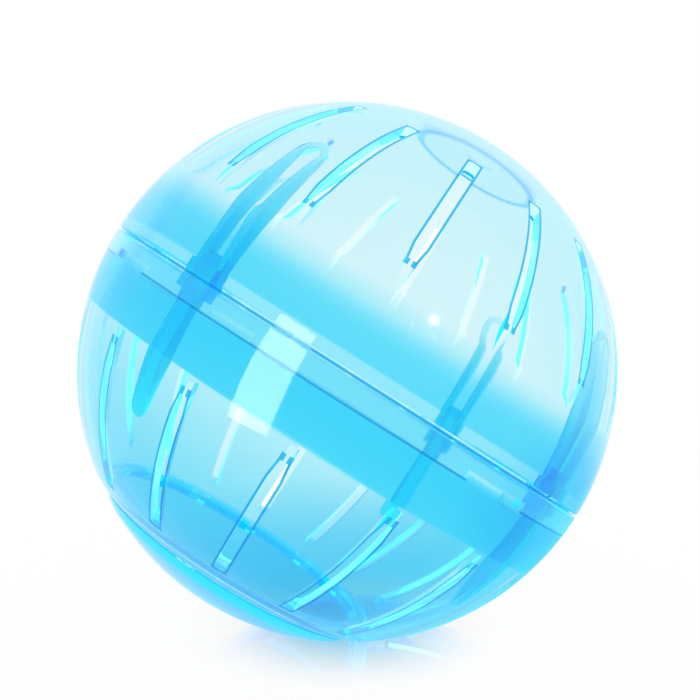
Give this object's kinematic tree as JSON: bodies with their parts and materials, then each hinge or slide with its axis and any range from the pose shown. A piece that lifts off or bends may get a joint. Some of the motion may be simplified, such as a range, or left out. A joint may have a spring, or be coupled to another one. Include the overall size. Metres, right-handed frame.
{
  "type": "hamster exercise ball",
  "caption": "Hollow slotted ball for a small pet: two half shells that plug together at the seam, keyed by ribs and guides, with a round push-in door at one pole.",
  "frame": {"origin": "centre of the ball, in the plane of the seam", "axes": "+Z along the polar axis towards the upper half's pole; -Z towards the door; a slot of each half faces -Y"},
  "size_m": [0.12, 0.12, 0.1198],
  "materials": {
    "upper_half": "clear light blue, polished",
    "lower_half": "clear light blue, polished",
    "door_lid": "clear light blue, polished"
  },
  "bodies": {
    "lower": {"lower_half": "lower_half"},
    "upper": {"upper_half": "upper_half"},
    "lid": {"door_lid": "door_lid"}
  },
  "joints": [
    {"name": "upper_half_lift", "type": "slide", "parent": "lower", "child": "upper", "axis": [0, 0, 1], "range_m": [0, 0.04]},
    {"name": "door_lid_pull", "type": "slide", "parent": "lower", "child": "lid", "axis": [0, 0, -1], "range_m": [0, 0.03]}
  ]
}
